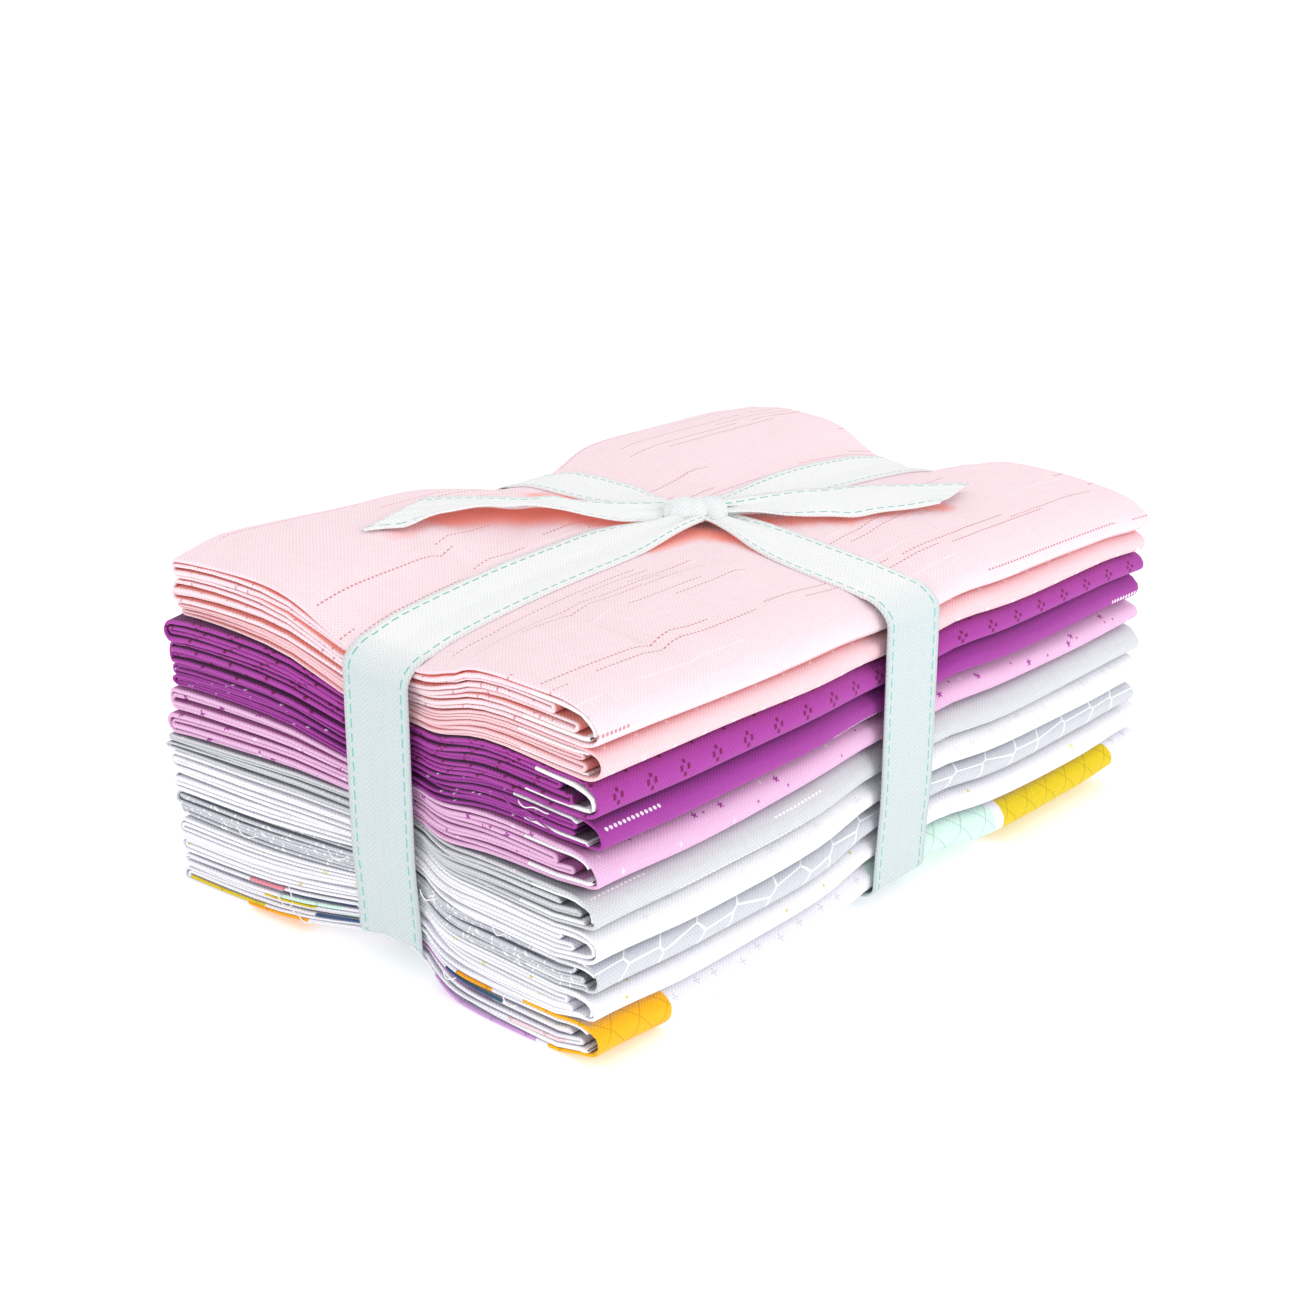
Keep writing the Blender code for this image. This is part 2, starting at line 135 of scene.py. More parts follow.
# Soft troughs (-) and ridges (+) that the ties pull into the top cloth
creases = [
    # from x, y to x, y, half width, height
    (-68, 36, -70, 4, 3.0, -1.3),
    (-61, 38, -62, 6, 4.2, 0.8),
    (-76, -28, -78, -66, 2.8, -1.3),
    (-69, -26, -70, -62, 4.5, 1.0),
    (-116, -27, -92, -18, 2.0, -0.6),
    (-112, -33, -84, -26, 2.6, 0.6),
    (-106, 22, -74, 20, 3.6, -0.5),
    (-44, -20, -16, -30, 3.2, -0.9),
    (-30, -42, -12, -22, 4.0, 0.9),
    (-52, 18, -30, 30, 4.0, -0.8),
    (-30, 16, -18, 34, 4.0, 0.9),
    (24, -48, 36, -18, 4.5, -0.8),
    (50, -56, 46, -24, 5.0, 0.8),
    (60, 26, 92, 40, 5.0, -0.6),
    (24, 46, 34, 20, 4.0, 0.8),
    (82, -22, 106, -30, 3.6, 0.6),
]

# Painted shadow under the ribbon: where it stands off the top cloth, the narrow space
# below is painted in the cloth's shade colour, which also glows there as painted bounce light
shadowsUnderRibbon = [
    # from x, y to x, y, half width, amount
    (-70, 34.5, -52, 36.5, 3.4, 0.4),
    (-52, 36, -36, 31, 8.0, 0.95),
    (-36, 31, -24, 22, 8.5, 1.0),
    (-24, 22, -14, 10.5, 6.5, 1.0),
    (-12, 42, -5, 32, 4.5, 0.9),
    (-26, -9.5, -4, -7.5, 3.4, 0.95),
    (-4, -7.5, 0, -17, 5.4, 1.0),
    (0, -17, -4, -28, 3.0, 0.7),
    (10, -6, 16, -14, 5.0, 0.95),
    (16, -14, 31, -31, 4.2, 0.85),
    (31, -31, 54, -44, 3.6, 0.8),
]


def bell(distance, flat, reach, power=2.0):
    past = np.maximum(0.0, np.abs(distance) - flat) / reach
    return np.exp(-(past**power))


def smooth(value, low, high):
    share = np.clip((value - low) / (high - low), 0.0, 1.0)
    return share * share * (3 - 2 * share)


def stackShares(x, y):
    share = (y - stack["foldY"]) / (stack["backY"] - stack["foldY"])
    return 0.5 + 0.5 * x / stack["halfLength"], share


def cornerBlend(values, x, y):
    u, v = stackShares(x, y)
    near, left, right, far = values
    return (near * (1 - u) + right * u) * (1 - v) + (left * (1 - u) + far * u) * v


def bandEffect(values, x, y):
    # what the two crossing bands do to the stack's height here
    def reach(row, beside):
        low, high = (bell(beside, *row[k], values["power"]) for k in (1, 2))
        return np.where(beside > 0, high, low)

    total = 0.0
    for ends, along, beside in (
        ("x-x+", (x - stack["crossX"]) / stack["halfLength"], y - stack["crossY"]),
        ("y-y+", (y - stack["crossY"]) / stack["backY"], x - stack["crossX"]),
    ):
        low, high = values[ends[:2]], values[ends[2:]]
        most = np.where(along > 0, high[0], low[0]) - values["middle"]
        depth = values["middle"] + most * np.abs(along) ** values["rise"]
        share = np.where(along > 0, reach(high, beside), reach(low, beside))
        total = total + np.abs(depth * share) ** 4
    return total**0.25  # the deeper of the two, with a soft change between them


def creaseHeight(x, y):
    total = np.zeros(np.broadcast(x, y).shape)
    for x0, y0, x1, y1, wide, high in creases:
        run = np.hypot(x1 - x0, y1 - y0)
        along = ((x - x0) * (x1 - x0) + (y - y0) * (y1 - y0)) / run**2
        beside = ((x - x0) * (y1 - y0) - (y - y0) * (x1 - x0)) / run
        ends = smooth(along, -0.25, 0.3) * (1 - smooth(along, 0.7, 1.25))
        total = total + high * np.exp(-((beside / wide) ** 2)) * ends
    # the bands press them flat
    flat = np.maximum(bell(x - stack["crossX"], 8.0, 5.0), bell(y - stack["crossY"], 8.0, 5.0))
    return total * (1 - flat)


def shadowUnderRibbon(x, y):
    most = np.zeros(np.broadcast(x, y).shape)
    for x0, y0, x1, y1, wide, amount in shadowsUnderRibbon:
        run = (x1 - x0) ** 2 + (y1 - y0) ** 2
        along = np.clip(((x - x0) * (x1 - x0) + (y - y0) * (y1 - y0)) / run, 0.0, 1.0)
        off = np.hypot(x - x0 - along * (x1 - x0), y - y0 - along * (y1 - y0))
        most = np.maximum(most, amount * (1 - smooth(off, 0.45 * wide, 1.35 * wide)))
    return most


def topHeight(x, y):
    besideX, besideY = x - stack["crossX"], y - stack["crossY"]
    a = np.minimum(1.0, np.abs(besideX) / stack["halfLength"] / stack["puffRise"])
    b = np.minimum(1.0, np.abs(besideY) / stack["backY"])
    puff = cornerBlend(stack["puffs"], x, y) * smooth(a, 0.0, 1.0) ** 0.7 * np.sin(pi * b) ** 0.6
    near, left, start = stack["droops"]
    u, v = stackShares(x, y)
    droop = smooth(-x, start, stack["halfLength"] + 4) * (near * (1 - v) + left * v)
    kept = 1 - 0.9 * smooth(-x, 50, 100)  # the left corner stays up
    sides = (("backDroop", y, besideX, 9.0), ("rightDroop", x, besideY, 10.0))
    for name, along, beside, flat in sides:
        edge, more, first, last = stack[name]
        droop = droop + (edge + more * bell(beside, flat, 11.0)) * kept * smooth(along, first, last)
    return cornerBlend(stack["topCorners"], x, y) + puff - droop - bandEffect(press, x, y)


def clothTop(x, y):
    # the open face of the top cloth
    return topHeight(x, y) + creaseHeight(x, y) - fold["faceDrop"]


def bottomHeight(x, y):
    curl, alongX, alongY = stack["curl"]
    corner = curl * smooth(-x, *alongX) * smooth(-y, *alongY)
    past, end = stack["rightCurl"]
    corner = corner + (past * smooth(x, 6, 30) + end * smooth(x, 88, 114)) * smooth(-y, 36, 66)
    return np.maximum(0.0, bandEffect(lift, x, y) - 0.1) + corner


def ripple(level, x, y):
    # small unevenness that neighbouring cloths share
    turn = 2.4 * level
    wave = np.sin(x / 31 + turn) * np.sin(y / 23 + 1.7 * turn)
    return 0.25 * wave + 0.12 * np.sin(x / 13 - y / 17 + 3.1 * turn)


depths = np.array([row[1] for row in cloths])
levelShares = np.vstack([np.zeros(4), np.cumsum(depths, axis=0)]) / depths.sum(axis=0)


def parting(level, x, y):
    low = bottomHeight(x, y)
    high = topHeight(x, y)
    height = low + (high - low) * cornerBlend(levelShares[level], x, y)
    if level == 0:
        return height
    if level == len(cloths):
        return height + creaseHeight(x, y)
    return height + ripple(level, x, y)


def inPlan(x, y):
    # the bands lie a little askew, and the cloths' lines turn with them
    across = 1.0 - np.minimum(1.0, (x / stack["halfLength"]) ** 2)
    along = 1.0 - np.minimum(1.0, (y / stack["backY"]) ** 2)
    shiftX = np.where(y < 0, *stack["skewShort"]) * across * y / stack["backY"]
    shiftY = np.where(x < 0, *stack["skewLong"]) * along * x / stack["halfLength"]
    return x + shiftX, y + shiftY


# Places across the stack where a ply has points: closer where the bottom rises
# steeply beside the band
stops = np.array([
    -60, -51, -43, -36, -30.5, -26, -22.5, -19.5, -17, -14.5, -12, -6,
    0, 7, 14, 22, 30, 39, 48, 57, 65,
])


def sectionRows(isTop, hooks, recesses, nose):
    # Rows across the sheet: place (Y), how far the printed ply and the ply
    # behind it stand past that, the band's height share, the lean of the
    # printed ply towards the top (+1) or the bottom (-1), and how hidden it is,
    # which sets its painted shade: 1 inside, 2 and -2 on the upper and lower face, less round a
    # loop.
    foldY, backY = stack["foldY"], stack["backY"]
    noseShare, shoulder = nose
    power = 1.0 if isTop else 0.84  # the lower cloths' loops are a little square
    rows = []

    def band(number):
        # height share of a band's middle, counted from the bottom
        return (2 * number - 1) / 16

    def sweep(start, end, count):
        return np.linspace(start, end, count + 1)[1:-1]

    def run(number, start, end, hidden=1.0):
        # one band; their printed plies face up and down by turns
        low, high = min(start, end) + 1.5, max(start, end) - 1.5
        if isTop and hidden == 2.0:
            inner = np.arange(low, high, 2.6)  # close enough for the creases
        else:
            inner = stops[(stops > low) & (stops < high)]
        places = np.concatenate([[low - 1.5], inner, [high + 1.5]])
        for y in places if start < end else places[::-1]:
            rows.append((y, 0.0, 0.0, band(number), 1 - 2 * (number % 2), hidden))

    def loop(side, top, bottom, angles, outer=False):
        # a hairpin from one band to another, on the outside or inside another
        top, bottom = band(top), band(bottom)
        middle = bottom + (top - bottom) * (noseShare if side < 0 else 0.5)
        depth = fold["depth"] if side < 0 else fold["backDepth"]
        firstRank, secondRank, lean = (0, 1, 1) if outer else (3, 2, -1)
        curve = power if side < 0 else 1.0
        for angle in angles:
            reach = abs(cos(radians(angle))) ** curve
            rise = copysign(abs(sin(radians(angle))) ** curve, angle)
            height = middle + rise * ((top - middle) if rise > 0 else (middle - bottom))
            inset = shoulder * (1 - reach) if side < 0 and rise > 0 else 0.0
            first = side * (depth - firstRank * fold["plyStep"]) * reach
            second = side * (depth - secondRank * fold["plyStep"]) * reach
            place = (foldY if side < 0 else backY) + inset
            hidden = fold["nearHidden"] if side < 0 else 1.0
            # painted shade near the partings with the cloths above and below
            if outer:
                start = 0.72 if rise > 0 else 0.88
                hidden = smooth(abs(rise), start, 1.0) * copysign(1, rise)
            rows.append((place, first, second, height, lean * rise, hidden))

    def innerFold(place, share):
        # a hairpin inside the large loop
        for angle in sweep(90, -90, 7):
            c, s = cos(radians(angle)), sin(radians(angle))
            rows.append((place, -1.1 * c, -0.5 * c, share + s / 16, s, 1.0))

    upper, lower = foldY + shoulder + recesses[0] - 4.0, foldY + recesses[1]
    loop(-1, 7, 2, np.linspace(hooks[0], 90, 8)[:-1])
    run(7, foldY + shoulder, backY)
    loop(1, 7, 6, sweep(90, -90, 5))
    run(6, backY, upper)
    innerFold(upper, 10 / 16)
    run(5, upper, backY)
    loop(1, 8, 5, sweep(-90, 90, 9), True)
    run(8, backY, foldY + shoulder, 2.0)
    loop(-1, 8, 1, sweep(90, -90, 17), True)
    run(1, foldY, backY, -2.0)
    loop(1, 4, 1, sweep(-90, 90, 9), True)
    run(4, backY, lower)
    innerFold(lower, 6 / 16)
    run(3, lower, backY)
    loop(1, 3, 2, sweep(90, -90, 5))
    run(2, backY, foldY)
    loop(-1, 7, 2, np.linspace(-90, hooks[1], 5)[1:])
    return np.array(rows)


def columnPlaces(spacing):
    # distances from the fold, closer together near both ends
    length = 2 * stack["halfLength"]
    near = [0.0, 0.4, 1.0, 2.4, 5.0, 9.0, 14.0]
    count = round((length - 2 * near[-1]) / spacing)
    middle = np.linspace(near[-1], length - near[-1] + 8, count)[1:-1]
    return np.concatenate([near, middle, [length - 2.6, length - 0.7, length]]) / length


def runLength(line):
    # distance of each point along this line from its first
    steps = np.linalg.norm(np.diff(line, axis=0), axis=1)
    return np.concatenate([[0.0], np.cumsum(steps)])[:, None]


def foldedPoints(level, spacing):
    # place, cloth coordinates, painted shade and painted bounce light of every point of one folded
    # cloth
    end, loopNear, loopRight, leftBack, hooks, recesses, nose, uneven = cloths[level][2:]
    isTop, isBottom = level + 1 == len(cloths), level == 0
    rows = sectionRows(isTop, hooks, recesses, nose)
    across, stepFirst, stepSecond, share, lean, hidden = (c[:, None] for c in rows.T)
    t = columnPlaces(spacing)[None, :]
    order = np.arange(len(rows))[:, None] * 7.0
    stagger = 0.6 + 0.4 * np.sin(order / 61 + level) + 0.45 * np.sin(order / 23 + 5 * level)
    waist = bell(across - stack["crossY"], stack["bandHalf"], stack["waistReach"])
    inward = stack["waistEnd"] * waist - end * (1 - waist)
    # the upper cloths draw in at the left end
    drawn = max(0.0, -leftBack) * 0.5 * smooth(across, 10.0, 70.0)
    lowX = -stack["halfLength"] + inward + stagger + drawn
    reach = stack["rightReach"][level] if level < 2 else 0.0
    highX = stack["halfLength"] - inward - stagger[::-1] + reach * smooth(-across, 10.0, 60.0)
    x = lowX + (highX - lowX) * t
    waist = bell(x - stack["crossX"], stack["bandHalf"], stack["waistReach"])
    out = loopNear + (loopRight - loopNear) * stackShares(x, across)[0]
    out = out + 0.35 * np.sin(x / 19 + 2 * level) * np.sin(x / 47 + level)
    back = leftBack * smooth(-x, 30.0, 110.0)
    drawnIn = stack["waistFold"] * waist
    shift = np.where(across < 0, drawnIn - out * (1 - waist), back - drawnIn)
    y = across + shift * smooth(np.abs(across), 26.0, 68.0)
    low = parting(level, x, y) + (stack["pieceGap"] / 2 if level else 0.0)
    high = parting(level + 1, x, y) - stack["pieceGap"] / 2
    spread = fold["spreadFold"] + (fold["spreadCut"] - fold["spreadFold"]) * smooth(t, 0.0, 0.3)

    def warped(value):
        # bands of uneven thickness
        first = np.sin(2 * pi * 3 * value + y / 37 + 1.9 * level + x / 90)
        second = np.sin(2 * pi * 5 * value - y / 29 + 3.3 * level)
        return value + uneven * np.sin(pi * value) * (0.022 * first + 0.012 * second)

    plies = []
    for side, step in ((1, stepFirst), (-1, stepSecond)):
        height = warped(share + side * lean * spread / 16)
        planX, planY = inPlan(x, y)
        planY = planY + step * (1 + 0.05 * np.sin(x / 27 + level))
        z = low + height * (high - low)
        plies.append(np.stack(np.broadcast_arrays(planX, planY, z), axis=-1))
    first, second = plies
    middle = (first[:, 0] + second[:, 0]) / 2
    half = (first[:, 0] - second[:, 0]) / 2
    bend = []
    for angle in np.radians([28, 58, 90, 122, 152]):
        c = copysign(abs(cos(angle)) ** 0.7, cos(angle))
        place = middle + half * c
        place[:, 0] -= fold["noseReach"] * sin(angle) ** 0.7
        bend.append(place)
    points = np.concatenate([first[:, ::-1], np.stack(bend, axis=1), second], axis=1)
    distance = (x - lowX) + fold["noseReach"]
    arc = np.linspace(0.4, -0.4, len(bend)) + np.zeros((len(rows), 1))
    along = np.concatenate([distance[:, ::-1] + 0.2, arc, -distance - 0.2], axis=1)
    length = runLength(first[:, first.shape[1] // 2]) + 0 * along

    # painted shade: 1 far inside the folds and between the cloths, 0 where the cloth lies open
    upper, lower = (hidden > 0) & (hidden != 1.0), hidden < 0
    closed = np.minimum(1.0, np.abs(hidden))
    closed = np.where((upper & isTop) | (lower & isBottom), 0.0, closed)
    # painted shadow under the ribbon on the top cloth's open face
    if isTop:
        face = points[:, -t.size :]
        closed = np.where(upper, shadowUnderRibbon(face[..., 0], face[..., 1]), closed)
    # the painted shade fades out at the fold's edge and at the cut end
    edge = smooth(distance, 0.2, 0.7) * (0.25 + 0.75 * smooth(highX - x, 0.0, 1.5))
    # less painted shade on the ply behind the turned-in selvages in the large loop
    hollow = np.where(across < stack["foldY"] + 9, fold["hollow"], 1.0)
    shade = [(closed * edge)[:, ::-1], 0 * arc, edge * hollow]
    shade = np.concatenate(shade, axis=1)
    # the top cloth's open face also gets painted bounce light where it has painted shade
    return points, along, length, shade, shade * upper * isTop


def placeMesh(bm, points, along, length, shade, lit=0.0):
    # a grid of cloth laid on these points, with its flat place as its UV in metres
    rows, columns = points.shape[:2]
    uvLayer = bm.loops.layers.uv.verify()
    floats = bm.verts.layers.float
    shadeLayer = floats.get("shade") or floats.new("shade")
    litLayer = floats.get("lit") or floats.new("lit")
    made = bmesh.ops.create_grid(bm, x_segments=columns - 1, y_segments=rows - 1, size=1.0)
    flat = points.reshape(-1, 3) + (0.0, stack["frameY"], 0.0)
    flatUv = np.stack([along, length], axis=-1).reshape(-1, 2) * toMetres
    tones = np.stack([shade, lit + 0 * shade], axis=-1).reshape(-1, 2)
    places = {}
    for number, vert in enumerate(made["verts"]):
        vert.co = flat[number] * toMetres
        vert[shadeLayer], vert[litLayer] = (float(tone) for tone in tones[number])
        places[vert] = flatUv[number]
    for face in {face for vert in made["verts"] for face in vert.link_faces}:
        for corner in face.loops:
            corner[uvLayer].uv = places[corner.vert]


def placeObject(name, data):
    placed = bpy.data.objects.new(name, data)
    bpy.context.scene.collection.objects.link(placed)
    return placed


def meshObject(name, bm, material):
    mesh = bpy.data.meshes.new(name)
    bm.to_mesh(mesh)
    bm.free()
    mesh.shade_smooth()
    mesh.materials.append(material)
    return placeObject(name, mesh)


def finishPiece(name, bm, material, thick, node):
    piece = meshObject(name, bm, material)
    solid = piece.modifiers.new("cloth_thickness", "SOLIDIFY")
    solid.thickness = thick * toMetres
    solid.offset = 0.0
    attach(piece, "root")
    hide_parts(node)
    return piece


def linear(code):
    # sRGB hex to linear colour
    parts = [int(code[i : i + 2], 16) / 255 for i in (1, 3, 5)]
    parts = [c / 12.92 if c <= 0.04045 else ((c + 0.055) / 1.055) ** 2.4 for c in parts]
    return (*parts, 1.0)


def feed(tree, node, inputs):
    # sets or links a node's inputs, given in their order or by name
    for key, value in inputs.items() if isinstance(inputs, dict) else enumerate(inputs):
        if isinstance(value, bpy.types.Node):
            value = value.outputs[0]
        if isinstance(value, bpy.types.NodeSocket):
            tree.links.new(value, node.inputs[key])
        else:
            node.inputs[key].default_value = value


def addNode(tree, kind, inputs=(), operation=None, **settings):
    node = tree.nodes.new("ShaderNode" + kind)
    if operation:
        settings["operation"] = operation
    for name, value in settings.items():
        setattr(node, name, value)
    feed(tree, node, inputs)
    return node


def newMaterial(name):
    material = bpy.data.materials.new(name)
    material.use_nodes = True
    return material, material.node_tree, material.node_tree.nodes["Principled BSDF"]


def flatPlace(tree):
    # the point's place on the flat cloth, in millimetres
    uv = addNode(tree, "UVMap")
    return addNode(tree, "VectorMath", [uv, (1000.0, 1000.0, 0.0)], "MULTIPLY")


def cells(tree, place, size, jitter, seed):
    # one point in each cell of this size; gives the place from it in
    # millimetres and a random colour for the cell
    shrink = (1 / size[0], 1 / size[1], 0.0)
    start = (seed * 7.31, seed * 3.17, 0.0)
    scaled = addNode(tree, "VectorMath", [place, shrink, start], "MULTIPLY_ADD")
    inputs = {"Vector": scaled, "Scale": 1.0, "Randomness": jitter}
    nearest = addNode(tree, "TexVoronoi", inputs, voronoi_dimensions="2D")
    away = [scaled, nearest.outputs["Position"]]
    away = addNode(tree, "VectorMath", away, "SUBTRACT")
    local = addNode(tree, "VectorMath", [away, (*size, 0.0)], "MULTIPLY")
    return local, nearest.outputs["Color"]


def petals(tree, local, radius, count, depth, soft=0.12, turn=0.0):
    # a dot (depth 0), star or flower round the cell's point
    parts = addNode(tree, "SeparateXYZ", [local])
    far = addNode(tree, "VectorMath", [local], "LENGTH").outputs["Value"]
    angle = addNode(tree, "Math", [parts.outputs[1], parts.outputs[0]], "ARCTAN2")
    turned = addNode(tree, "Math", [angle, float(count), turn], "MULTIPLY_ADD")
    wave = addNode(tree, "Math", [turned], "COSINE")
    edge = [wave, radius * depth, radius * (1 - depth)]
    edge = addNode(tree, "Math", edge, "MULTIPLY_ADD")
    inside = addNode(tree, "Math", [edge, far], "SUBTRACT")
    return addNode(tree, "Math", [inside, 1 / soft, 0.5], "MULTIPLY_ADD", use_clamp=True)


def cluster(tree, local, step, radius, turn):
    # four dots round the cell's point
    inputs = {"Vector": local, "Angle": turn}
    turned = addNode(tree, "VectorRotate", inputs, rotation_type="Z_AXIS")
    size = addNode(tree, "VectorMath", [turned], "ABSOLUTE")
    away = addNode(tree, "VectorMath", [size, (step, step, 0.0)], "SUBTRACT")
    return petals(tree, away, radius, 4, 0.12, 0.3)


def slants(tree, place, weights, half):
    # straight lines where weights times the place is a whole number
    sloped = addNode(tree, "VectorMath", [place, (*weights, 0.0)], "DOT_PRODUCT")
    off = addNode(tree, "Math", [sloped.outputs["Value"], 0.5], "PINGPONG")
    line = [off, -6.0 / hypot(*weights), 6.0 * half + 0.5]
    return addNode(tree, "Math", line, "MULTIPLY_ADD", use_clamp=True)


def dashes(tree, place, size, seed, line, dash, duty, fill, dots=False, shift=(0.0, 0.0)):
    # short straight rows of dashes along U, one in most cells
    place = addNode(tree, "VectorMath", [place, (*shift, 0.0)], "SUBTRACT")
    local, chance = cells(tree, place, size, 0.85, seed)
    parts = addNode(tree, "SeparateXYZ", [local])
    chances = addNode(tree, "SeparateColor", [chance])
    span = [chances.outputs[0], size[0] * 0.34, size[0] * 0.1]
    span = addNode(tree, "Math", span, "MULTIPLY_ADD")
    within = addNode(tree, "Math", [parts.outputs[0], 0.0, span], "COMPARE")
    shown = addNode(tree, "Math", [chances.outputs[1], fill], "LESS_THAN")
    both = addNode(tree, "Math", [within, shown], "MULTIPLY")
    # distance along U from the middle of the nearest dash
    along = addNode(tree, "SeparateXYZ", [place])
    along = addNode(tree, "Math", [along, dash / 2], "SUBTRACT")
    along = addNode(tree, "Math", [along, dash / 2], "PINGPONG")
    if dots:
        spot = addNode(tree, "CombineXYZ", [along, parts.outputs[1]])
        mark = petals(tree, spot, line, 4, 0.0)
    else:
        on = addNode(tree, "Math", [along, duty * dash / 2], "LESS_THAN")
        beside = addNode(tree, "Math", [parts.outputs[1]], "ABSOLUTE")
        thin = addNode(tree, "Math", [line, beside], "SUBTRACT")
        edge = addNode(tree, "Math", [thin, 8.0, 0.5], "MULTIPLY_ADD", use_clamp=True)
        mark = addNode(tree, "Math", [edge, on], "MULTIPLY")
    return addNode(tree, "Math", [both, mark], "MULTIPLY")


def overlay(tree, under, mask, colour, strength=1.0):
    amount = addNode(tree, "Math", [mask, strength], "MULTIPLY")
    return addNode(tree, "MixRGB", [amount, under, linear(colour)])


def toned(tree, colour, tone):
    grey = addNode(tree, "CombineXYZ", [tone, tone, tone])
    return addNode(tree, "VectorMath", [colour, grey], "MULTIPLY")


cotton = {
    # strength of the painted shade in the folds and partings, in the cloth's shade colour
    "paintedShadeStrength": 0.88,  # of the deeper colour in the folds and partings
    # strength of the painted bounce light: emission of the top cloth in its shade colour under the
    # ribbon
    "lit": 0.2,  # light of the top cloth under the ribbon
    "weave": 0.1,
    "slub": 0.12,
    "thread": 0.55,  # millimetres; the real 0.4 is too fine to show
    "selvage": "#f6f5f8",
}


def cottonMaterial(name, ground, shadeColour, printed, length, isTop):
    # Printed quilting cotton: matt, with a fine plain weave and slight slubs;
    # folds and partings get painted shade in the cloth's own deeper colour.
    material, tree, shader = newMaterial(name)
    place = flatPlace(tree)
    parts = addNode(tree, "SeparateXYZ", [place])
    colour = addNode(tree, "RGB")
    colour.outputs[0].default_value = linear(ground)
    colour = printed(tree, place, colour)
    inner = [parts.outputs[1], length / 2, length / 2 - fold["selvage"]]
    inner = addNode(tree, "Math", inner, "COMPARE")
    colour = addNode(tree, "MixRGB", [inner, linear(cotton["selvage"]), colour])
    slubs = []
    for way in ((0.12, 2.2, 0.0), (2.2, 0.12, 0.0)):
        drawn = addNode(tree, "VectorMath", [place, way], "MULTIPLY")
        inputs = {"Vector": drawn, "Scale": 1.0, "Detail": 2.0}
        slubs.append(addNode(tree, "TexNoise", inputs, noise_dimensions="2D"))
    slubs = addNode(tree, "Math", slubs, "ADD")
    slubs = [slubs, cotton["slub"], 1 - cotton["slub"]]
    slubs = addNode(tree, "Math", slubs, "MULTIPLY_ADD")
    colour = toned(tree, colour, slubs)
    # painted shade: the shade attribute mixes the cloth towards its shade colour in folds, partings
    # and under the ribbon
    shade = addNode(tree, "Attribute", attribute_name="shade").outputs["Fac"]
    shade = addNode(tree, "Math", [shade, cotton["paintedShadeStrength"]], "MULTIPLY")
    colour = addNode(tree, "MixRGB", [shade, colour, linear(shadeColour)])
    waves = []
    for axis in (0, 1):
        turn = [parts.outputs[axis], pi / cotton["thread"]]
        turn = addNode(tree, "Math", turn, "MULTIPLY")
        waves.append(addNode(tree, "Math", [turn], "SINE"))
    weave = addNode(tree, "Math", waves, "MULTIPLY")
    relief = addNode(tree, "Math", [slubs, 0.6, weave], "MULTIPLY_ADD")
    bump = addNode(tree, "Bump", {"Height": relief, "Strength": 0.3, "Distance": 0.00015})
    weave = addNode(tree, "Math", [weave, cotton["weave"], 1.0], "MULTIPLY_ADD")
    colour = toned(tree, colour, weave)
    feed(tree, shader, {
        "Base Color": colour, "Normal": bump, "Roughness": 0.88, "Specular IOR Level": 0.25,
        "Sheen Weight": 0.12, "Sheen Roughness": 0.5,
    })
    if isTop:
        # painted bounce light: the top cloth glows in its shade colour under the ribbon, for light
        # thrown back and forth there
        lit = addNode(tree, "Attribute", attribute_name="lit").outputs["Fac"]
        lit = addNode(tree, "Math", [lit, cotton["lit"]], "MULTIPLY")
        feed(tree, shader, {"Emission Color": linear(shadeColour), "Emission Strength": lit})
        material.cycles.emission_sampling = "NONE"
    return material


def sprinkled(tree, place, colour, *motifs):
    # small motifs, one in each cell
    for size, jitter, seed, shape, code, strength in motifs:
        local = cells(tree, place, size, jitter, seed)[0]
        colour = overlay(tree, colour, petals(tree, local, *shape), code, strength)
    return colour


def printPink(tree, place, colour):
    # rows of fine dashes, some of them with a second row a little further on
    for size, seed, fill, line in (((74, 14), 1, 0.85, 0.24), ((60, 17), 4, 0.5, 0.2)):
        for shift, share in (((0, 0), 1.0), ((14, 3.4), 0.6)):
            mask = dashes(tree, place, size, seed, line, 1.35, 0.6, fill * share, shift=shift)
            colour = overlay(tree, colour, mask, "#c9848f", 0.9)
    pale = dashes(tree, place, (46, 16), 6, 0.22, 1.3, 0.98, 0.3)
    return overlay(tree, colour, pale, "#fdf6f8", 0.45)


def printBlush(tree, place, colour):
    local = cells(tree, place, (10.5, 8.6), 0.0, 2)[0]
    return overlay(tree, colour, cluster(tree, local, 0.72, 0.62, pi / 4), "#ffffff", 0.95)


def printDiamonds(tree, place, colour):
    # shifted so that a row of them lies on the lengthwise fold
    place = addNode(tree, "VectorMath", [place, (2.4, 0.0, 0.0)], "ADD")
    inputs = {"Vector": place, "Angle": pi / 4}
    turned = addNode(tree, "VectorRotate", inputs, rotation_type="Z_AXIS")
    local = cells(tree, turned, (8.0, 8.0), 0.0, 3)[0]
    return overlay(tree, colour, cluster(tree, local, 0.86, 0.62, 0.0), "#6d0f42", 0.9)


